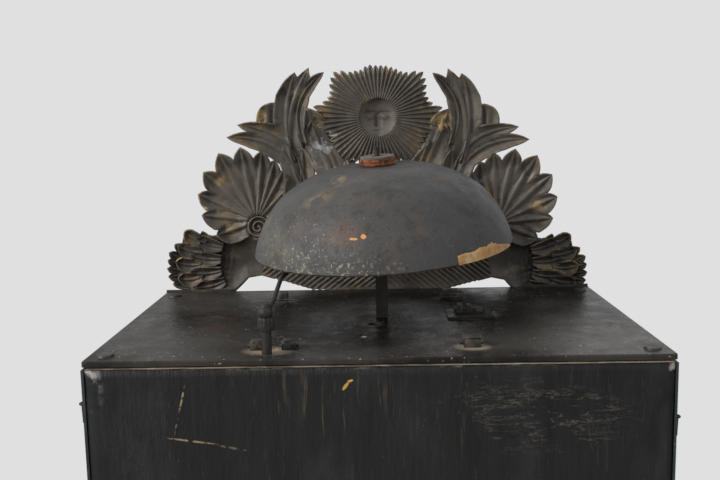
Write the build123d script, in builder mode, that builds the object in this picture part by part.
from build123d import *
from math import atan2, cos, degrees, hypot, radians, sin
import os

# The head of a comtoise clock: an iron cage with two trains side by side, a bell on a post
# above it and a pressed brass pediment in front of the bell. Lengths are in millimetres.
# The origin is the centre of the base plate's underside, +Z is up, and the dial faces -Y.
# Left and right are as seen from the dial, so left is -X.

os.makedirs("parts", exist_ok=True)

# Cage
cage_width = 250
cage_depth = 148
cage_height = 265
plate_thickness = 2.4
plate_corner = 2
post_size = 12
post_from_side = 8
rear_post_from_edge = 9
front_post_from_edge = 12.5
rivet_radius = 3
rivet_head_radius = 3.75
rivet_head_height = 0.9
fit_gap = 0.05
air_gap = 0.3

# Rear board and side doors
board_thickness = 5
board_gap_left = 2
board_gap_right = 0.6
door_thickness = 1.2
door_roll_radius = 2.3
door_pin_radius = 1.2
door_pin_length = 12
door_roll_from_front = 3
screw_head_radius = 3.5
screw_head_height = 1.6
screw_radius = 1.6
rear_screw_length = 10
front_screw_length = 15

# Door hooks, hung in wire staples
staple_wire_radius = 0.45
staple_reach = 1.95
staple_height = 8.4
staple_from_rear = 6
ring_wire_radius = 0.55
ring_radius = 1.35
hook_tail_length = 8
hook_right_from_top = 20
hook_left_from_top = 29

# Front sheet, dial and brass surround
front_sheet_thickness = 1.2
brass_thickness = 0.8
dial_radius = 113
dial_thickness = 1.6
dial_flange = 5
dial_dome = 7
dial_hole_radius = 7
winding_hole_radius = 6
bezel_width = 4
bezel_lip = 2.5
pediment_tab_height = 12

# Trains: left is the going train and right is the strike
train_spacing = 88
great_height = 86
great_distance = 42
bar_width = 20
bar_thickness = 6
rear_bar_y = 57
front_bar_y = -46.5
middle_bar_y = -5
middle_bar_bottom = 116
tenon_height = 2.4
great_teeth = 48
leaf_count = 6
centre_teeth = 48
centre_module = 1.15
third_teeth = 45
third_module = 1.0
escape_teeth = 30
escape_radius = 18
anchor_distance = 24
locking_teeth = 42
locking_module = 1.05
strike_pin_count = 8
strike_pin_circle = 18
strike_pin_radius = 1.2
arbor_radius = 2
pivot_radius = 1.2
great_pivot_radius = 3.6
great_arbor_radius = 4.5
drum_radius = 18
drum_cap_radius = 21
drum_length = 66
ratchet_radius = 13
ratchet_teeth = 20
winding_square = 5

# Motion work between the front bars and the dial
motion_teeth = 30
motion_module = 1.3
hour_teeth = 32
cannon_leaves = 10
motion_leaves = 8
motion_wheel_x = 24
stud_radius = 2
minute_pipe_radius = 3
hour_pipe_radius = 4.6
minute_hand_length = 92
hour_hand_length = 64
rack_steps = 12
lever_x = 48
lever_height = 170
lever_stud_radius = 1.6

# Bell, its post and the hammer
post_x = -2.65
post_y = -2.7
bell_post_width = 6
bell_post_depth = 5
bell_post_upright = 30
bell_shank_radius = 2.9
bell_radius = 64.3
bell_height = 40.3
bell_wall = 3.2
bell_rim_x = -3.9
bell_rim_y = -3
bell_rim_height = 36.8
bell_lean_across = 3.2
bell_lean_back = 4.1
bell_hole_radius = 3
washer_radius = 9
washer_thickness = 4.5
hammer_x = 47.4
hammer_y = 65
hammer_shaft_radius = 2.2
hammer_top = 22
hammer_collar_radius = 3.75
hammer_collar_low = 9
hammer_collar_height = 5.8
hammer_rod_radius = 1
hammer_head_radius = 5

# Pediment
pediment_tilt = 1.4
sun_height = 101
sun_rays = 60
plume_width = 18
palm_leaf_width = 13
horn_leaf_width = 8
lobe_radius = 9
volute_radius = 7

# Places that several pieces share
half_width = cage_width / 2
half_depth = cage_depth / 2
plate_low = cage_height - plate_thickness
post_x_out = half_width - post_from_side
rear_post_y = half_depth - rear_post_from_edge
front_post_y = -half_depth + front_post_from_edge
board_front = rear_post_y + post_size / 2
board_back = board_front + board_thickness
train_x = train_spacing / 2
centre_height = great_height + great_distance
front_bar_front = front_bar_y - bar_thickness / 2
front_bar_back = front_bar_y + bar_thickness / 2
rear_bar_front = rear_bar_y - bar_thickness / 2
rear_bar_back = rear_bar_y + bar_thickness / 2
front_sheet_back = -half_depth
front_sheet_front = front_sheet_back - front_sheet_thickness
surround_front = front_sheet_front - brass_thickness
transfer_rear = front_bar_front - 5.5
transfer_front = transfer_rear - 2
hour_wheel_front = transfer_front - 8
hour_hand_front = surround_front - dial_thickness - dial_dome - 2
minute_hand_front = hour_hand_front - 2.6
board_screw_heights = (30, 130)
front_screw_heights = (12, cage_height - pediment_tab_height / 2)


def keep(builder, name):
    """Labels a finished piece and writes it."""
    builder.part.label = name
    export_step(builder.part, f"parts/{name}.step")


def facing(y):
    """The plane at depth y as seen from the dial: X to the right, Z up, its normal to the front."""
    return Plane(origin=(0, y, 0), x_dir=(1, 0, 0), z_dir=(0, -1, 0))


def level(z):
    """The level plane at height z."""
    return Plane.XY.offset(z)


def along_y(x, z, steps, mode=Mode.ADD):
    """A turned piece on an axis along Y: steps are (rear end, front end, radius)."""
    for rear, front, radius in steps:
        with BuildSketch(facing(rear)) as section:
            with Locations((x, z)):
                Circle(radius)
        extrude(section.sketch, amount=rear - front, mode=mode)


def drill(x, z, rear, front, radius):
    """A round hole along Y."""
    along_y(x, z, [(rear, front, radius)], Mode.SUBTRACT)


def polar(radius, angle):
    return radius * cos(radians(angle)), radius * sin(radians(angle))


def tooth_points(teeth, module, phase, x, z):
    """A wheel's or a pinion's outline, four points to a tooth, with straight flanks."""
    is_pinion = teeth <= cannon_leaves
    tip = 0.7 if is_pinion else 0.8
    root = 1.3 if is_pinion else 1.15
    root_share = 0.17 if is_pinion else 0.32
    tip_share = 0.1 if is_pinion else 0.12
    pitch = 360 / teeth
    radius = teeth * module / 2
    points = []
    for tooth in range(teeth):
        middle = phase + tooth * pitch
        for reach, turn in ((-root, -root_share), (tip, -tip_share), (tip, tip_share), (-root, root_share)):
            across, up = polar(radius + reach * module, middle + turn * pitch)
            points.append((x + across, z + up))
    return points


def meshed(driver_phase, driver_teeth, driven_teeth, direction):
    """The phase of a wheel that meshes with another one, which sees it in the given direction."""
    rolled = (driver_phase - direction) * driver_teeth / driven_teeth
    return direction + 180 + 180 / driven_teeth - rolled


def toothed(teeth, module, phase, x, z, rear, front):
    """Adds a toothed disc to the open part."""
    with BuildSketch(facing(rear)) as disc:
        with BuildLine():
            Polyline(*tooth_points(teeth, module, phase, x, z), close=True)
        make_face()
    extrude(disc.sketch, amount=rear - front)


def crossings(x, z, rear, front, outer, inner, arms, arm_width, turn=0):
    """Cuts a wheel's openings and leaves its arms."""
    with BuildSketch(facing(rear)) as openings:
        with Locations((x, z)):
            Circle(outer)
            Circle(inner, mode=Mode.SUBTRACT)
        for arm in range(arms):
            reach, rise = polar(outer / 2 + inner / 2, turn + arm * 360 / arms)
            with Locations(Location((x + reach, z + rise, 0), (0, 0, turn + arm * 360 / arms))):
                Rectangle(outer, arm_width, mode=Mode.SUBTRACT)
    extrude(openings.sketch, amount=rear - front, mode=Mode.SUBTRACT)


def box(low, high, mode=Mode.ADD):
    """A block between two corners."""
    middle = [(a + b) / 2 for a, b in zip(low, high)]
    with Locations(tuple(middle)):
        Box(*[b - a for a, b in zip(low, high)], mode=mode)


# Bars: each stands between the plates and its tenons go through them
bars = [
    ("strike_rear_bar", 46, rear_bar_y, [(39, 5.4), (53, 5)]),
    ("strike_front_bar", 48, front_bar_y, [(52, 5)]),
    ("going_rear_bar", -42, rear_bar_y, [(-41.4, 7.2)]),
    ("going_front_bar", -43, front_bar_y, [(-39.7, 8.8)]),
]
tenon_depth = 5
middle_bar_x = -47
middle_bar_width = 18
middle_tenon_width = 15
strap_width = 23
strap_depth = 16
strap_thickness = 1.2
third_height = centre_height + (centre_teeth + leaf_count) * centre_module / 2
escape_height = third_height + (third_teeth + leaf_count) * third_module / 2
anchor_height = escape_height + anchor_distance
fly_height = third_height + (locking_teeth + leaf_count) * locking_module / 2
great_module = 2 * great_distance / (great_teeth + leaf_count)
transfer_module = 2 * train_x / (2 * motion_teeth)


def bar_holes(side):
    """The heights and radii of the holes that a train's bars are drilled with."""
    if side < 0:
        return [(great_height, great_pivot_radius), (centre_height, arbor_radius), (third_height, pivot_radius),
                (escape_height, pivot_radius), (anchor_height, arbor_radius)]
    return [(great_height, great_pivot_radius), (centre_height, pivot_radius), (third_height, pivot_radius),
            (fly_height, pivot_radius)]


for name, x, y, tenons in bars:
    side = 1 if x > 0 else -1
    with BuildPart() as bar:
        box((x - bar_width / 2, y - bar_thickness / 2, plate_thickness),
            (x + bar_width / 2, y + bar_thickness / 2, plate_low))
        for tenon_x, tenon_width in tenons:
            box((tenon_x - tenon_width / 2, y - tenon_depth / 2, plate_low),
                (tenon_x + tenon_width / 2, y + tenon_depth / 2, cage_height + tenon_height))
            box((tenon_x - tenon_width / 2, y - tenon_depth / 2, 0),
                (tenon_x + tenon_width / 2, y + tenon_depth / 2, plate_thickness))
        for z, radius in bar_holes(side):
            going_rear = side < 0 and y > 0
            if not going_rear or z == great_height:
                drill(side * train_x, z, y + bar_thickness, y - bar_thickness, radius + fit_gap)
        if name == "strike_front_bar":
            along_y(lever_x, lever_height, [(y, front_bar_front - 3, lever_stud_radius)])
    keep(bar, name)

with BuildPart() as going_middle_bar:
    box((middle_bar_x - middle_bar_width / 2, middle_bar_y - bar_thickness / 2, middle_bar_bottom),
        (middle_bar_x + middle_bar_width / 2, middle_bar_y + bar_thickness / 2, plate_low))
    box((middle_bar_x - middle_tenon_width / 2, middle_bar_y - tenon_depth / 2, plate_low),
        (middle_bar_x + middle_tenon_width / 2, middle_bar_y + tenon_depth / 2,
         cage_height + strap_thickness + tenon_height))
    for z in (centre_height, third_height, escape_height, anchor_height):
        drill(-train_x, z, middle_bar_y + bar_thickness, middle_bar_y - bar_thickness, pivot_radius + fit_gap)
keep(going_middle_bar, "going_middle_bar")

with BuildPart() as middle_bar_strap:
    box((middle_bar_x - strap_width / 2, middle_bar_y - strap_depth / 2, cage_height),
        (middle_bar_x + strap_width / 2, middle_bar_y + strap_depth / 2 + 3, cage_height + strap_thickness))
    box((middle_bar_x - middle_tenon_width / 2 - fit_gap, middle_bar_y - tenon_depth / 2 - fit_gap, cage_height),
        (middle_bar_x + middle_tenon_width / 2 + fit_gap, middle_bar_y + tenon_depth / 2 + fit_gap,
         cage_height + strap_thickness), Mode.SUBTRACT)
keep(middle_bar_strap, "middle_bar_strap")

# Plates
spare_hole_radius = 3.5
spare_hole_x = 1
spare_hole_y = 13
cord_slot_length = 62
cord_slot_width = 12
pendulum_slot_length = 56
pendulum_slot_width = 12
pendulum_y = -60
roll_x = half_width - 0.5 - door_roll_radius
roll_y = -half_depth + door_roll_from_front


def plate_holes(low):
    """Cuts the holes that both plates share: rivets, bar tenons and door pins."""
    with BuildSketch(level(low)) as holes:
        for side in (-1, 1):
            with Locations((side * post_x_out, rear_post_y), (side * post_x_out, front_post_y)):
                Circle(rivet_radius + fit_gap)
            with Locations((side * roll_x, roll_y)):
                Circle(door_pin_radius + fit_gap)
        for _, _, y, tenons in bars:
            for tenon_x, tenon_width in tenons:
                with Locations((tenon_x, y)):
                    Rectangle(tenon_width + 2 * fit_gap, tenon_depth + 2 * fit_gap)
    extrude(holes.sketch, amount=plate_thickness, mode=Mode.SUBTRACT)


with BuildPart() as bottom_plate:
    with BuildSketch():
        RectangleRounded(cage_width, cage_depth, plate_corner)
    extrude(amount=plate_thickness)
    plate_holes(0)
    with BuildSketch():
        with Locations((-train_x - drum_radius, 4), (train_x + drum_radius, 4)):
            SlotOverall(cord_slot_length, cord_slot_width, rotation=90)
        with Locations((-train_x, pendulum_y)):
            SlotOverall(pendulum_slot_length, pendulum_slot_width)
    extrude(amount=plate_thickness, mode=Mode.SUBTRACT)
keep(bottom_plate, "bottom_plate")

with BuildPart() as top_plate:
    with BuildSketch(level(plate_low)):
        RectangleRounded(cage_width, cage_depth, plate_corner)
    extrude(amount=plate_thickness)
    fillet(top_plate.faces().sort_by(Axis.Z)[-1].edges(), 0.8)
    plate_holes(plate_low)
    with BuildSketch(level(plate_low)):
        with Locations((spare_hole_x, spare_hole_y)):
            Circle(spare_hole_radius)
        with Locations((hammer_x, hammer_y)):
            Circle(hammer_shaft_radius + fit_gap)
        with Locations((post_x, post_y)):
            Circle(bell_post_depth / 2 + fit_gap)
        with Locations((middle_bar_x, middle_bar_y)):
            Rectangle(middle_tenon_width + 2 * fit_gap, tenon_depth + 2 * fit_gap)
    extrude(amount=plate_thickness, mode=Mode.SUBTRACT)
keep(top_plate, "top_plate")

with BuildPart() as corner_posts:
    for side in (-1, 1):
        for y in (rear_post_y, front_post_y):
            with BuildSketch(level(plate_thickness)):
                with Locations((side * post_x_out, y)):
                    Rectangle(post_size, post_size)
            extrude(amount=plate_low - plate_thickness)
            with BuildSketch(level(0)):
                with Locations((side * post_x_out, y)):
                    Circle(rivet_radius)
            extrude(amount=cage_height)
            with BuildSketch(level(cage_height)) as head:
                with Locations((side * post_x_out, y)):
                    Circle(rivet_head_radius)
            extrude(amount=rivet_head_height, taper=30)
        for z in board_screw_heights:
            drill(side * post_x_out, z, board_front, board_back - rear_screw_length, screw_radius + fit_gap)
        for z in front_screw_heights:
            drill(side * post_x_out, z, surround_front + front_screw_length, front_sheet_back,
                  screw_radius + fit_gap)
keep(corner_posts, "corner_posts")

# Rear board: it stands a little proud of the plates and its top edge runs out of true
board_half = post_x_out + post_size / 2 - 0.1
board_low = plate_thickness
with BuildPart() as rear_board:
    with BuildSketch(facing(board_back)):
        with BuildLine():
            Polyline((-board_half, board_low), (board_half, board_low), (board_half, plate_low - board_gap_right),
                     (-board_half, plate_low - board_gap_left), close=True)
        make_face()
    extrude(amount=board_thickness)
    for side in (-1, 1):
        for z in board_screw_heights:
            drill(side * post_x_out, z, board_back, board_front, screw_radius + fit_gap)
keep(rear_board, "rear_board")

# Front sheet behind the dial
front_low = 1
with BuildPart() as front_sheet:
    box((-half_width, front_sheet_front, front_low), (half_width, front_sheet_back, cage_height))
    drill(0, centre_height, front_sheet_back, front_sheet_front, 30)
    for side in (-1, 1):
        drill(side * train_x, great_height, front_sheet_back, front_sheet_front, winding_hole_radius + 2)
        for z in front_screw_heights:
            drill(side * post_x_out, z, front_sheet_back, front_sheet_front, screw_radius + fit_gap)
keep(front_sheet, "front_sheet")

# Side doors: each is rolled round a pin at its front edge and carries a wire staple
door_low = plate_thickness + 0.8
door_high = plate_low - 0.8
door_out = roll_x + door_roll_radius
door_rear = board_back - 0.5
staple_y = half_depth - staple_from_rear
staple_x = door_out + staple_reach
ring_x = staple_x + air_gap


def side_door(side):
    """A door of sheet iron, closed."""
    with BuildPart() as door:
        with BuildSketch(level(door_low)):
            with Locations((side * roll_x, roll_y)):
                Circle(door_roll_radius)
            with Locations((side * (door_out - door_thickness / 2), (roll_y + door_rear) / 2)):
                Rectangle(door_thickness, door_rear - roll_y)
            with Locations((side * roll_x, roll_y)):
                Circle(door_pin_radius + fit_gap, mode=Mode.SUBTRACT)
        extrude(amount=door_high - door_low)
        for z in staple_legs(side):
            with BuildSketch(Plane(origin=(side * door_out, staple_y, z), z_dir=(side, 0, 0))):
                Circle(staple_wire_radius + fit_gap)
            extrude(amount=-door_thickness, mode=Mode.SUBTRACT)
    return door


def staple_legs(side):
    """The heights of a staple's lower and upper legs."""
    ring_height = cage_height - (hook_right_from_top if side > 0 else hook_left_from_top)
    return ring_height - staple_height * 0.4, ring_height + staple_height * 0.6


def staple(side):
    """A wire bent twice, with both legs through the door."""
    low, high = staple_legs(side)
    with BuildPart() as wire:
        with BuildLine() as route:
            FilletPolyline((side * (door_out - door_thickness), staple_y, low), (side * staple_x, staple_y, low),
                           (side * staple_x, staple_y, high),
                           (side * (door_out - door_thickness), staple_y, high), radius=1.6)
        with BuildSketch(Plane(origin=route.line @ 0, z_dir=route.line % 0)):
            Circle(staple_wire_radius)
        sweep()
    return wire


def hook(side):
    """A hook's eye, level round the staple's wire, and its tapered tail that hangs beside the door."""
    height = cage_height - (hook_right_from_top if side > 0 else hook_left_from_top)
    with BuildPart() as piece:
        with Locations((side * ring_x, staple_y, height)):
            Torus(ring_radius, ring_wire_radius)
        with BuildSketch(level(height)):
            with Locations((side * ring_x, staple_y + ring_radius)):
                Circle(ring_wire_radius - 0.03)
        with BuildSketch(level(height - hook_tail_length)):
            with Locations((side * ring_x, staple_y + ring_radius)):
                Circle(ring_wire_radius / 2)
        loft()
    return piece


for side, word in ((-1, "left"), (1, "right")):
    keep(side_door(side), f"door_{word}")
    keep(staple(side), f"staple_{word}")
    keep(hook(side), f"hook_{word}")

with BuildPart() as door_pins:
    for low in (0, cage_height - door_pin_length):
        with BuildSketch(level(low)):
            with Locations((-roll_x, roll_y), (roll_x, roll_y)):
                Circle(door_pin_radius)
        extrude(amount=door_pin_length)
keep(door_pins, "door_pins")

# Dial, its brass surround and the ring that holds it
surround_high = cage_height - pediment_tab_height - air_gap
with BuildPart() as dial_surround:
    box((-half_width, surround_front, front_low), (half_width, front_sheet_front, surround_high))
    drill(0, centre_height, front_sheet_front, surround_front, dial_radius - 2)
    for side in (-1, 1):
        drill(side * post_x_out, front_screw_heights[0], front_sheet_front, surround_front,
              screw_radius + fit_gap)
keep(dial_surround, "dial_surround")

dial_front = surround_front - dial_thickness
with BuildPart() as dial:
    with BuildSketch(level(centre_height)):
        with BuildLine():
            Polyline((dial_radius - dial_flange, surround_front), (dial_radius, surround_front),
                     (dial_radius, dial_front), (dial_radius - dial_flange, dial_front))
            ThreePointArc((dial_radius - dial_flange, dial_front), (dial_radius * 0.55, dial_front - dial_dome * 0.68),
                          (dial_hole_radius, dial_front - dial_dome))
            Line((dial_hole_radius, dial_front - dial_dome), (dial_hole_radius, surround_front - dial_dome))
            ThreePointArc((dial_hole_radius, surround_front - dial_dome),
                          (dial_radius * 0.55, surround_front - dial_dome * 0.68),
                          (dial_radius - dial_flange, surround_front))
        make_face()
    revolve(axis=Axis((0, 0, centre_height), (0, 1, 0)))
    for side in (-1, 1):
        drill(side * train_x, great_height, surround_front, dial_front - dial_dome, winding_hole_radius)
keep(dial, "dial")

bezel_outer = dial_radius + bezel_width
with BuildPart() as bezel:
    with BuildSketch(level(centre_height)):
        with BuildLine():
            Polyline((dial_radius + fit_gap, surround_front), (dial_radius + fit_gap, dial_front),
                     (dial_radius - bezel_lip, dial_front), (dial_radius - bezel_lip, dial_front - 1),
                     (dial_radius + 1, dial_front - 2.2), (bezel_outer - 1, dial_front - 1.4),
                     (bezel_outer, surround_front), close=True)
        make_face()
    revolve(axis=Axis((0, 0, centre_height), (0, 1, 0)))
keep(bezel, "bezel")

with BuildPart() as case_screws:
    for side in (-1, 1):
        for z in board_screw_heights:
            along_y(side * post_x_out, z, [(board_back + screw_head_height, board_back, screw_head_radius),
                                           (board_back, board_back - rear_screw_length, screw_radius)])
        for z in front_screw_heights:
            along_y(side * post_x_out, z, [(surround_front, surround_front - screw_head_height, screw_head_radius),
                                           (surround_front + front_screw_length, surround_front, screw_radius)])
keep(case_screws, "case_screws")

# Barrels and great wheels
great_wheel_rear = -33
great_wheel_thickness = 3
ratchet_front = great_wheel_rear + air_gap
drum_front = ratchet_front + 2.2
cap_thickness = 2
drum_rear = drum_front + drum_length
square_front = -73


def barrel(x):
    """A drum with its end caps, its ratchet and its arbor, whose front end is squared for the key."""
    with BuildPart() as piece:
        along_y(x, great_height, [
            (rear_bar_back, rear_bar_front - air_gap, great_pivot_radius),
            (rear_bar_front - air_gap, drum_rear, great_arbor_radius),
            (drum_rear, drum_rear - cap_thickness, drum_cap_radius),
            (drum_rear - cap_thickness, drum_front + cap_thickness, drum_radius),
            (drum_front + cap_thickness, drum_front, drum_cap_radius),
            (drum_front, front_bar_back + air_gap, great_arbor_radius),
            (front_bar_back + air_gap, front_bar_front, great_pivot_radius)])
        ratchet = []
        for tooth in range(ratchet_teeth):
            turn = tooth * 360 / ratchet_teeth
            for radius, angle in ((ratchet_radius, turn), (ratchet_radius - 1.8, turn + 1)):
                across, up = polar(radius, angle)
                ratchet.append((x + across, great_height + up))
        with BuildSketch(facing(drum_front)):
            with BuildLine():
                Polyline(*ratchet, close=True)
            make_face()
        extrude(amount=drum_front - ratchet_front)
        with BuildSketch(facing(front_bar_front)):
            with Locations((x, great_height)):
                Rectangle(winding_square, winding_square)
        extrude(amount=front_bar_front - square_front)
    return piece


def great_wheel(x):
    """The wheel that turns on the barrel's arbor and is driven through the click."""
    front = great_wheel_rear - great_wheel_thickness
    with BuildPart() as piece:
        toothed(great_teeth, great_module, 90, x, great_height, great_wheel_rear, front)
        crossings(x, great_height, great_wheel_rear, front, great_teeth * great_module / 2 - 6, 10, 4, 7, 60)
        drill(x, great_height, great_wheel_rear, front, great_arbor_radius + fit_gap)
    return piece


def click(x):
    """The pawl on the great wheel's back. Its nose stops just short of the ratchet's teeth."""
    nose = ratchet_radius + air_gap + 0.2
    corners = [(nose, 88), (ratchet_radius + 8, 62), (ratchet_radius + 11.5, 54), (ratchet_radius + 12.5, 64),
               (nose + 4, 86)]
    with BuildPart() as piece:
        with BuildSketch(facing(great_wheel_rear + 2)):
            with BuildLine():
                Polyline(*[(x + polar(*corner)[0], great_height + polar(*corner)[1]) for corner in corners],
                         close=True)
            make_face()
        extrude(amount=2)
    return piece


for x, word in ((-train_x, "going"), (train_x, "strike")):
    keep(barrel(x), f"{word}_barrel")
    keep(great_wheel(x), f"{word}_great_wheel")
    keep(click(x), f"{word}_click")

# Going train: each wheel is riveted on an arbor with a pinion
mesh_overlap = 1
wheel_thickness = 2
centre_wheel_rear = -39.5
third_wheel_rear = -18
escape_wheel_rear = -28
middle_bar_front = middle_bar_y - bar_thickness / 2
leaf_turn = meshed(90, great_teeth, leaf_count, 90)


def train_arbor(x, z, rear, front, front_end=None):
    """An arbor between two bars, with a thin pivot in each."""
    along_y(x, z, [(rear + bar_thickness, rear - air_gap, pivot_radius), (rear - air_gap, front + air_gap, arbor_radius)])
    if front_end is None:
        along_y(x, z, [(front + air_gap, front - bar_thickness, pivot_radius)])
    else:
        along_y(x, z, [(front + air_gap, front_end, arbor_radius)])


def pinion(x, z, module, wheel_rear, thickness):
    """The leaves that a wheel of the given place and thickness drives."""
    toothed(leaf_count, module, leaf_turn, x, z, wheel_rear + mesh_overlap, wheel_rear - thickness - mesh_overlap)


with BuildPart() as centre_wheel:
    train_arbor(-train_x, centre_height, middle_bar_front, front_bar_back, transfer_front - 1)
    pinion(-train_x, centre_height, great_module, great_wheel_rear, great_wheel_thickness)
    toothed(centre_teeth, centre_module, 90, -train_x, centre_height, centre_wheel_rear,
            centre_wheel_rear - wheel_thickness)
    crossings(-train_x, centre_height, centre_wheel_rear, centre_wheel_rear - wheel_thickness, 22.5, 6, 4, 4, 45)
keep(centre_wheel, "centre_wheel")

with BuildPart() as third_wheel:
    train_arbor(-train_x, third_height, middle_bar_front, front_bar_back)
    pinion(-train_x, third_height, centre_module, centre_wheel_rear, wheel_thickness)
    toothed(third_teeth, third_module, 90, -train_x, third_height, third_wheel_rear,
            third_wheel_rear - wheel_thickness)
    crossings(-train_x, third_height, third_wheel_rear, third_wheel_rear - wheel_thickness, 18, 5, 4, 3, 45)
keep(third_wheel, "third_wheel")

with BuildPart() as escape_wheel:
    train_arbor(-train_x, escape_height, middle_bar_front, front_bar_back)
    pinion(-train_x, escape_height, third_module, third_wheel_rear, wheel_thickness)
    hooked = []
    for tooth in range(escape_teeth):
        turn = tooth * 360 / escape_teeth
        for radius, lag in ((escape_radius, 0), (escape_radius - 3.2, 1.5), (escape_radius - 3.2, 6)):
            across, up = polar(radius, turn + lag)
            hooked.append((-train_x + across, escape_height + up))
    with BuildSketch(facing(escape_wheel_rear)):
        with BuildLine():
            Polyline(*hooked, close=True)
        make_face()
    extrude(amount=wheel_thickness)
    crossings(-train_x, escape_height, escape_wheel_rear, escape_wheel_rear - wheel_thickness, 12.5, 4.5, 4, 2.5)
keep(escape_wheel, "escape_wheel")

anchor_thickness = 4
pallet_x = 17.6
pallet_low = anchor_height - escape_height - 9
with BuildPart() as anchor:
    with BuildSketch(facing(escape_wheel_rear + 1)):
        with Locations((-train_x, anchor_height)):
            Circle(4.5)
        for side in (-1, 1):
            with BuildLine():
                Polyline((-train_x, anchor_height + 2), (-train_x + side * (pallet_x + 2.5), anchor_height - 7),
                         (-train_x + side * (pallet_x + 2.5), anchor_height - pallet_low),
                         (-train_x + side * pallet_x, anchor_height - pallet_low),
                         (-train_x + side * pallet_x, anchor_height - 8.5), (-train_x, anchor_height - 2), close=True)
            make_face()
        with Locations((-train_x, anchor_height)):
            Circle(arbor_radius, mode=Mode.SUBTRACT)
    extrude(amount=anchor_thickness)
keep(anchor, "anchor")

crutch_rear = pendulum_y + 1
crutch_thickness = 2
crutch_low = third_height - 1
fork_reach = 5
with BuildPart() as crutch:
    train_arbor(-train_x, anchor_height, middle_bar_front, front_bar_back, crutch_rear - crutch_thickness)
    along_y(-train_x, anchor_height, [(crutch_rear + 1, crutch_rear - crutch_thickness, 4)])
    box((-train_x - 1.2, crutch_rear - crutch_thickness, crutch_low), (-train_x + 1.2, crutch_rear, anchor_height))
    box((-train_x - 4, crutch_rear - crutch_thickness, crutch_low), (-train_x + 4, crutch_rear, crutch_low + 2))
    for side in (-1, 1):
        along_y(-train_x + side * 3, crutch_low + 1,
                [(crutch_rear - crutch_thickness, crutch_rear - crutch_thickness - fork_reach, 0.9)])
keep(crutch, "crutch")

cock_width = 12
cock_height = 228
with BuildPart() as suspension_cock:
    box((-train_x - cock_width / 2, front_bar_front - 2, cock_height - 10),
        (-train_x + cock_width / 2, front_bar_front, cock_height + 6))
    box((-train_x - cock_width / 2, pendulum_y - 5, cock_height), (-train_x + cock_width / 2, front_bar_front, cock_height + 6))
    box((-train_x - 0.5, pendulum_y - 5, cock_height), (-train_x + 0.5, pendulum_y + 1, cock_height + 6), Mode.SUBTRACT)
keep(suspension_cock, "suspension_cock")

# Strike train
pin_wheel_rear = 46.5
locking_wheel_rear = 22
strike_pin_length = 5
fly_half = 18
fly_front = -35
fly_rear = 10
with BuildPart() as pin_wheel:
    train_arbor(train_x, centre_height, rear_bar_front, front_bar_back)
    pinion(train_x, centre_height, great_module, great_wheel_rear, great_wheel_thickness)
    toothed(centre_teeth, centre_module, 90, train_x, centre_height, pin_wheel_rear, pin_wheel_rear - wheel_thickness)
    crossings(train_x, centre_height, pin_wheel_rear, pin_wheel_rear - wheel_thickness, 15, 6, 4, 4, 45)
    for pin in range(strike_pin_count):
        across, up = polar(strike_pin_circle, pin * 360 / strike_pin_count)
        along_y(train_x + across, centre_height + up,
                [(pin_wheel_rear + strike_pin_length, pin_wheel_rear, strike_pin_radius)])
keep(pin_wheel, "pin_wheel")

with BuildPart() as locking_wheel:
    train_arbor(train_x, third_height, rear_bar_front, front_bar_back)
    pinion(train_x, third_height, centre_module, pin_wheel_rear, wheel_thickness)
    toothed(locking_teeth, locking_module, 90, train_x, third_height, locking_wheel_rear,
            locking_wheel_rear - wheel_thickness)
    crossings(train_x, third_height, locking_wheel_rear, locking_wheel_rear - wheel_thickness, 17.5, 5, 4, 3, 45)
keep(locking_wheel, "locking_wheel")

with BuildPart() as fly:
    train_arbor(train_x, fly_height, rear_bar_front, front_bar_back)
    pinion(train_x, fly_height, locking_module, locking_wheel_rear, wheel_thickness)
    box((train_x - fly_half, fly_front, fly_height - 0.5), (train_x + fly_half, fly_rear, fly_height + 0.5))
keep(fly, "fly")

# Motion work
bridge_thickness = 3
bridge_half_height = 7
bridge_front = front_bar_front - bridge_thickness
motion_reach = (cannon_leaves + motion_teeth) * motion_module / 2
motion_wheel_height = centre_height + (motion_reach ** 2 - motion_wheel_x ** 2) ** 0.5
motion_direction = degrees(atan2(motion_wheel_height - centre_height, motion_wheel_x))
motion_stud_radius = 1.6
with BuildPart() as motion_bridge:
    box((middle_bar_x - 6, bridge_front, centre_height - bridge_half_height),
        (train_x + 12, front_bar_front, centre_height + bridge_half_height))
    along_y(motion_wheel_x, motion_wheel_height, [(front_bar_front, bridge_front, 5)])
    along_y(motion_wheel_x, motion_wheel_height, [(bridge_front, hour_wheel_front - 1, motion_stud_radius)])
    along_y(0, centre_height, [(bridge_front, hour_wheel_front - 5, stud_radius)])
    drill(-train_x, centre_height, front_bar_front, bridge_front, arbor_radius + fit_gap)
keep(motion_bridge, "motion_bridge")

with BuildPart() as transfer_wheel:
    toothed(motion_teeth, transfer_module, 0, -train_x, centre_height, transfer_rear, transfer_front)
    crossings(-train_x, centre_height, transfer_rear, transfer_front, 17, 5.5, 4, 4, 45)
    drill(-train_x, centre_height, transfer_rear, transfer_front, arbor_radius)
keep(transfer_wheel, "transfer_wheel")

cannon_front = transfer_front - 4.5
with BuildPart() as minute_wheel:
    toothed(motion_teeth, transfer_module, meshed(0, motion_teeth, motion_teeth, 0), 0, centre_height,
            transfer_rear, transfer_front)
    crossings(0, centre_height, transfer_rear, transfer_front, 17, 8, 4, 4, 45)
    toothed(cannon_leaves, motion_module, motion_direction, 0, centre_height, transfer_front, cannon_front)
    along_y(0, centre_height, [(transfer_front, minute_hand_front, minute_pipe_radius)])
    drill(0, centre_height, transfer_rear, minute_hand_front, stud_radius + fit_gap)
keep(minute_wheel, "minute_wheel")

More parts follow.
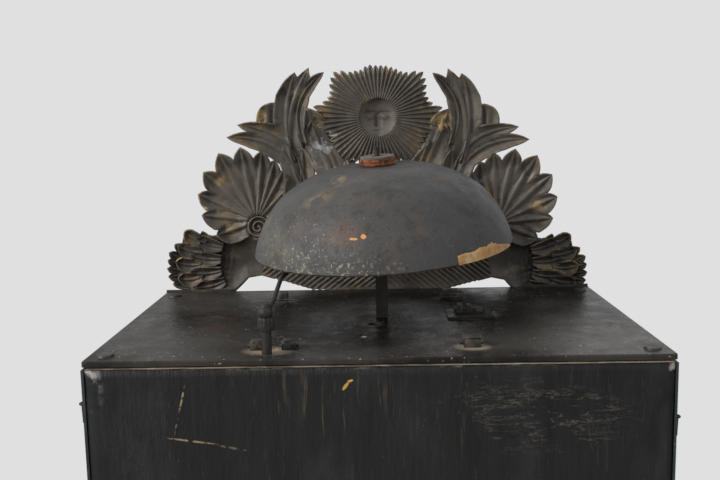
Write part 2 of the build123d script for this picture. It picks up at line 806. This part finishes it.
motion_wheel_rear = transfer_front - 2
with BuildPart() as motion_wheel:
    toothed(motion_teeth, motion_module, meshed(motion_direction, cannon_leaves, motion_teeth, motion_direction),
            motion_wheel_x, motion_wheel_height, motion_wheel_rear, motion_wheel_rear - 1.7)
    crossings(motion_wheel_x, motion_wheel_height, motion_wheel_rear, motion_wheel_rear - 1.7, 15, 7, 4, 3, 45)
    toothed(motion_leaves, motion_module, motion_direction + 180, motion_wheel_x, motion_wheel_height,
            motion_wheel_rear - 1.7, hour_wheel_front - 0.6)
    drill(motion_wheel_x, motion_wheel_height, motion_wheel_rear, hour_wheel_front - 0.6,
          motion_stud_radius + fit_gap)
keep(motion_wheel, "motion_wheel")

snail_thickness = 1.5
snail_high = 20
snail_low = 9
with BuildPart() as hour_wheel:
    toothed(hour_teeth, motion_module,
            meshed(motion_direction + 180, motion_leaves, hour_teeth, motion_direction + 180), 0, centre_height,
            hour_wheel_front + 1.5, hour_wheel_front)
    snail = []
    for step in range(rack_steps):
        radius = snail_high - step * (snail_high - snail_low) / (rack_steps - 1)
        for part_turn in (0, 0.5, 1):
            snail.append((polar(radius, 90 + (step + part_turn) * 360 / rack_steps)[0],
                          centre_height + polar(radius, 90 + (step + part_turn) * 360 / rack_steps)[1]))
    with BuildSketch(facing(hour_wheel_front)):
        with BuildLine():
            Polyline(*snail, close=True)
        make_face()
    extrude(amount=snail_thickness)
    along_y(0, centre_height, [(hour_wheel_front, hour_hand_front, hour_pipe_radius)])
    drill(0, centre_height, hour_wheel_front + 1.5, hour_hand_front, minute_pipe_radius + fit_gap)
keep(hour_wheel, "hour_wheel")


def hand(length, width, rear, front, bore, turn):
    """A pierced brass hand, turned clockwise from twelve."""
    along = (cos(radians(turn)), 0, -sin(radians(turn)))
    with BuildPart() as piece:
        with BuildSketch(Plane(origin=(0, rear, centre_height), x_dir=along, z_dir=(0, -1, 0))):
            Circle(bore + 3.5)
            with BuildLine():
                Polyline((-width / 2, 0), (-width / 3, length * 0.55), (-width / 1.6, length * 0.7), (0, length),
                         (width / 1.6, length * 0.7), (width / 3, length * 0.55), (width / 2, 0), close=True)
            make_face()
            with Locations((0, length * 0.72)):
                Circle(width / 4, mode=Mode.SUBTRACT)
            Circle(bore, mode=Mode.SUBTRACT)
        extrude(amount=rear - front)
    return piece


keep(hand(minute_hand_length, 7, minute_hand_front + 1, minute_hand_front, minute_pipe_radius, 0), "minute_hand")
keep(hand(hour_hand_length, 10, hour_hand_front + 1, hour_hand_front, hour_pipe_radius, -60), "hour_hand")

with BuildPart() as hand_nut:
    along_y(0, centre_height, [(minute_hand_front, minute_hand_front - 1.2, 4.5),
                               (minute_hand_front - 1.2, minute_hand_front - 2.6, 2.8)])
keep(hand_nut, "hand_nut")

# Rack and lifting lever of the strike work
rack_rear = hour_wheel_front - snail_thickness - 1.5
rack_thickness = 2
rack_half = 4
rack_low = centre_height + snail_high + 2.3
rack_high = cage_height - 29
with BuildPart() as rack:
    box((-rack_half, rack_rear - rack_thickness, rack_low), (rack_half, rack_rear, rack_high))
    with BuildSketch(facing(rack_rear)):
        for step in range(rack_steps):
            foot = rack_low + 42 + step * 1.6
            with BuildLine():
                Polyline((-rack_half, foot), (-rack_half, foot + 1.5), (-rack_half + 1.8, foot + 1.5), close=True)
            make_face()
    extrude(amount=rack_thickness, mode=Mode.SUBTRACT)
keep(rack, "rack")

guide_rear = rack_rear + air_gap + 1.5
guide_front = rack_rear - rack_thickness - air_gap - 1.2
guide_half = rack_half + air_gap + 1.5
guide_low = cage_height - 85
with BuildPart() as rack_guide:
    box((-guide_half, rack_rear + air_gap, guide_low), (guide_half, guide_rear, plate_low))
    for low in (guide_low + 2, guide_low + 46):
        box((-guide_half, guide_front, low), (guide_half, rack_rear + air_gap, low + 5))
        box((-rack_half - air_gap, rack_rear - rack_thickness - air_gap, low),
            (rack_half + air_gap, rack_rear + air_gap, low + 5), Mode.SUBTRACT)
keep(rack_guide, "rack_guide")

lever_thickness = 2
with BuildPart() as lifting_lever:
    with BuildSketch(facing(front_bar_front - air_gap)):
        with Locations((lever_x, lever_height)):
            Circle(4)
        with BuildLine():
            Polyline((lever_x, lever_height + 3), (lever_x, lever_height - 3), (14, lever_height - 8),
                     (10, lever_height - 6), (10, lever_height + 8), (13, lever_height + 8), (14, lever_height - 4),
                     close=True)
        make_face()
        with Locations((lever_x, lever_height)):
            Circle(lever_stud_radius + fit_gap, mode=Mode.SUBTRACT)
    extrude(amount=lever_thickness)
keep(lifting_lever, "lifting_lever")

# Wedges beside the tenons above the top plate
wedge_radius = 0.8
wedge_places = [(x, y, width, cage_height + wedge_radius) for _, _, y, tenons in bars for x, width in tenons]
with BuildPart() as bar_wedges:
    for x, y, width, middle in wedge_places:
        with BuildSketch(Plane(origin=(x - width / 2 - 2, y - tenon_depth / 2 - wedge_radius, middle), z_dir=(1, 0, 0))):
            Circle(wedge_radius)
        extrude(amount=width + 4)
keep(bar_wedges, "bar_wedges")

# Bell: it leans a little across and a little to the rear, and its post is bent to meet it
bell_up = Vector(sin(radians(bell_lean_across)), sin(radians(bell_lean_back)), 1).normalized()
bell_rear = bell_up.cross(Vector(1, 0, 0)).normalized()
bell_centre = Vector(bell_rim_x, bell_rim_y, cage_height + bell_rim_height)


def across_bell(height):
    """The plane square to the bell's axis at a height above its rim."""
    return Plane(origin=bell_centre + bell_up * height, x_dir=bell_rear.cross(bell_up), z_dir=bell_up)


seat_height = bell_height - bell_wall
crown_radius = washer_radius + 0.5
with BuildPart() as bell:
    with BuildSketch(Plane(origin=bell_centre, x_dir=bell_rear.cross(bell_up), z_dir=-bell_rear)):
        with BuildLine():
            Polyline((crown_radius, bell_height), (bell_hole_radius, bell_height), (bell_hole_radius, seat_height),
                     (crown_radius, seat_height))
            ThreePointArc((crown_radius, seat_height), (31, 33.4), (46.4, 25.6))
            ThreePointArc((46.4, 25.6), (56.2, 13.6), (bell_radius - bell_wall, 0))
            Line((bell_radius - bell_wall, 0), (bell_radius, 0))
            ThreePointArc((bell_radius, 0), (59.5, 14), (49.2, 27.7))
            ThreePointArc((49.2, 27.7), (32.5, 36.9), (crown_radius, bell_height))
        make_face()
    revolve(axis=Axis(bell_centre, bell_up))
keep(bell, "bell")

with BuildPart() as bell_washer:
    with BuildSketch(across_bell(bell_height)):
        Circle(washer_radius)
        Circle(bell_hole_radius, mode=Mode.SUBTRACT)
    extrude(amount=washer_thickness - 1)
keep(bell_washer, "bell_washer")

with BuildPart() as bell_washer_plate:
    with BuildSketch(across_bell(bell_height + washer_thickness - 1)):
        Circle(washer_radius - 0.6)
        Circle(bell_hole_radius, mode=Mode.SUBTRACT)
    extrude(amount=1)
keep(bell_washer_plate, "bell_washer_plate")

bend_place = Vector(post_x, post_y, cage_height + bell_post_upright)
upper_run = across_bell(seat_height).origin - bend_place
with BuildPart() as bell_post:
    with BuildSketch(level(plate_low - 4)):
        with Locations((post_x, post_y)):
            Circle(bell_post_depth / 2)
    extrude(amount=plate_thickness + 4)
    with BuildSketch(level(cage_height)):
        with Locations((post_x, post_y)):
            Rectangle(bell_post_width, bell_post_depth)
    extrude(amount=bell_post_upright + 0.3)
    with BuildSketch(Plane(origin=bend_place, x_dir=(1, 0, 0), z_dir=upper_run)):
        Rectangle(bell_post_width, bell_post_depth)
    extrude(amount=upper_run.length + 2)
    split(bisect_by=across_bell(seat_height), keep=Keep.BOTTOM)
    with BuildSketch(across_bell(seat_height)):
        Circle(bell_shank_radius)
    extrude(amount=bell_wall + washer_thickness)
    with BuildSketch(across_bell(bell_height + washer_thickness)):
        Circle(1.3)
    extrude(amount=4.5)
keep(bell_post, "bell_post")

with BuildPart() as bell_post_nut:
    with BuildSketch(level(plate_low - 3.6)):
        with Locations((post_x, post_y)):
            RegularPolygon(5.5, 6)
            Circle(bell_post_depth / 2 + fit_gap, mode=Mode.SUBTRACT)
    extrude(amount=3.6)
keep(bell_post_nut, "bell_post_nut")

# Hammer: an upright arbor, turned by the pin wheel through its tail, whose rod reaches into the bell
cock_hole_radius = 1.5
hammer_foot = 129
tail_height = centre_height + 11
hammer_points = [(hammer_x, hammer_y, cage_height + 17.5), (45, 55, cage_height + 21.5), (43.2, 42, cage_height + 28),
                 (41.5, 34.5, cage_height + 29.5), (39.5, 28.5, cage_height + 38)]
rod_plane = Plane(origin=hammer_points[0], z_dir=Vector(*hammer_points[1]) - Vector(*hammer_points[0]))
with BuildPart() as hammer_arbor:
    with BuildSketch(level(hammer_foot - 3)):
        with Locations((hammer_x, hammer_y)):
            Circle(cock_hole_radius)
    extrude(amount=3)
    with BuildSketch(level(hammer_foot)):
        with Locations((hammer_x, hammer_y)):
            Circle(hammer_shaft_radius)
    extrude(amount=cage_height + hammer_top - hammer_foot)
    fillet(hammer_arbor.faces().sort_by(Axis.Z)[-1].edges(), 1.6)
    with BuildSketch(level(tail_height - 2)):
        with BuildLine():
            Polyline((hammer_x, hammer_y - 1.4), (34, 61.8), (25.6, 57), (25.6, 47.5), (22.8, 47.5), (22.8, 58.5),
                     (33, 64.4), (hammer_x, hammer_y + 1.4), close=True)
        make_face()
    extrude(amount=4)
    with BuildSketch(rod_plane):
        Circle(hammer_rod_radius + fit_gap)
    extrude(amount=hammer_shaft_radius + 3, both=True, mode=Mode.SUBTRACT)
keep(hammer_arbor, "hammer_arbor")

with BuildPart() as hammer_cock:
    box((hammer_x - 5.5, rear_bar_back, hammer_foot - 2.8), (hammer_x + 5.5, hammer_y + 3.8, hammer_foot - 0.3))
    box((hammer_x - 5.5, rear_bar_back, hammer_foot - 12), (hammer_x + 5.5, rear_bar_back + 1.5, hammer_foot - 2.8))
    with BuildSketch(level(hammer_foot - 2.8)):
        with Locations((hammer_x, hammer_y)):
            Circle(cock_hole_radius + fit_gap)
    extrude(amount=2.5, mode=Mode.SUBTRACT)
keep(hammer_cock, "hammer_cock")

with BuildPart() as hammer_collar:
    with BuildSketch(level(cage_height + hammer_collar_low)):
        with Locations((hammer_x, hammer_y)):
            Circle(hammer_collar_radius)
            Circle(hammer_shaft_radius, mode=Mode.SUBTRACT)
    extrude(amount=hammer_collar_height)
keep(hammer_collar, "hammer_collar")

with BuildPart() as hammer_rod:
    with BuildLine() as rod_route:
        FilletPolyline(*hammer_points, radius=3)
    with BuildSketch(rod_plane):
        Circle(hammer_rod_radius)
    sweep()
keep(hammer_rod, "hammer_rod")

with BuildPart() as hammer_head:
    with BuildSketch(Plane(origin=(30.5, 28.5, cage_height + 38), z_dir=(1, 0, 0))):
        Circle(hammer_head_radius)
    extrude(amount=11.5)
    fillet(hammer_head.faces().filter_by(Axis.X).edges(), 2)
    with BuildSketch(Plane(origin=hammer_points[-1], z_dir=Vector(*hammer_points[-1]) - Vector(*hammer_points[-2]))):
        Circle(hammer_rod_radius + fit_gap)
    extrude(amount=-12, mode=Mode.SUBTRACT)
keep(hammer_head, "hammer_head")

# Pediment: one sheet of brass that hangs a little out of level. Places are given for its right
# half, across from its middle and up from the top plate.
plume_root = (42, 55)
lobe_centre = (61, 99.5)
palm_centre = (71, 40)
volute_centre = (70, 36)
horn_root = (98, 8)
middle_root = (6, 18)
plume_leaves = [(plume_root, (40, 128.8), plume_width, 10.8), ((48, 75), (48, 126), 14, 5),
                ((43, 85), (31.4, 126.3), 8, 9), (plume_root, (81.5, 96), 12, -13), (plume_root, (87.8, 88.8), 11.5, -12),
                ((56, 36), (44, 84), 16, -4)]
palm_tips = [(60, 75.5), (67.5, 81), (80, 83), (92.7, 79.4), (101.6, 68.4), (105, 55.5), (102.9, 43), (94.4, 31),
             (55, 70), (52, 60)]
horn_tips = [(108.7, 33.4), (114, 29.6), (119.4, 25.6), (122.9, 20.5), (123.7, 15.9), (124.2, 11.1), (123.6, 6.3)]
middle_tips = [(0, 80), (18, 80), (30, 88), (38, 96), (46, 66)]
horn_outline = [(84, -2), (124, -2), (121, 12), (115, 24), (104, 31), (64, 31.5), (54, 26), (18, 14), (0, 12), (0, -1),
                (38, -0.5), (55, 4.5), (68, 8), (76, 6.5)]
tab_width = 38
sheet_back = front_sheet_front


def placed(points, side):
    """Turns places of the right half into points of the sketch, for either side."""
    turn = radians(pediment_tilt)
    return [(side * across * cos(turn) - up * sin(turn), cage_height + side * across * sin(turn) + up * cos(turn))
            for across, up in points]


def leaf_points(root, tip, width, bend):
    """A leaf's outline from its root to its pointed tip. A positive bend bows it to the right of its run."""
    length = hypot(tip[0] - root[0], tip[1] - root[1])
    ahead = ((tip[0] - root[0]) / length, (tip[1] - root[1]) / length)
    right, left = [], []
    for share, fullness in ((0.0, 0.25), (0.3, 0.42), (0.55, 0.5), (0.75, 0.47), (0.9, 0.28)):
        bow = bend * 4 * share * (1 - share)
        for edge, off in ((right, bow + fullness * width), (left, bow - fullness * width)):
            edge.append((root[0] + ahead[0] * length * share + ahead[1] * off,
                         root[1] + ahead[1] * length * share - ahead[0] * off))
    return right + [tip] + left[::-1]


def leaf_list():
    """Every leaf of the right half: root, tip, width and bend."""
    leaves = list(plume_leaves)
    leaves += [(palm_centre, tip, palm_leaf_width, 0) for tip in palm_tips]
    leaves += [(horn_root, tip, horn_leaf_width, 0) for tip in horn_tips]
    leaves += [(middle_root, tip, 15, 0) for tip in middle_tips]
    return leaves


def sun_points():
    """The sun's outline: its rays are longest level and on the diagonals."""
    points = []
    for half_ray in range(2 * sun_rays):
        angle = 90 + half_ray * 180 / sun_rays
        reach = 31.8 + 3.8 * cos(radians(8 * angle)) + 2 * cos(radians(2 * angle))
        across, up = polar(reach * (0.88 if half_ray % 2 else 1), angle)
        points.append((across, sun_height + up))
    return points


with BuildPart() as pediment:
    with BuildSketch(facing(sheet_back)):
        for side in (-1, 1):
            for outline in [leaf_points(*leaf) for leaf in leaf_list()] + [horn_outline]:
                with BuildLine():
                    Polyline(*placed(outline, side), close=True)
                make_face()
            with Locations(placed([lobe_centre], side)[0]):
                Circle(lobe_radius)
            with Locations(placed([volute_centre], side)[0]):
                Circle(volute_radius)
            with Locations((side * (half_width - tab_width / 2), cage_height + 2 - pediment_tab_height / 2)):
                Rectangle(tab_width, pediment_tab_height + 4)
        with Locations((0, cage_height + 2 - pediment_tab_height / 2)):
            Rectangle(48, pediment_tab_height + 4)
        with BuildLine():
            Polyline(*placed(sun_points(), 1), close=True)
        make_face()
    extrude(amount=brass_thickness)
    for side in (-1, 1):
        drill(side * post_x_out, front_screw_heights[1], sheet_back, sheet_back - brass_thickness,
              screw_radius + fit_gap)
keep(pediment, "pediment")
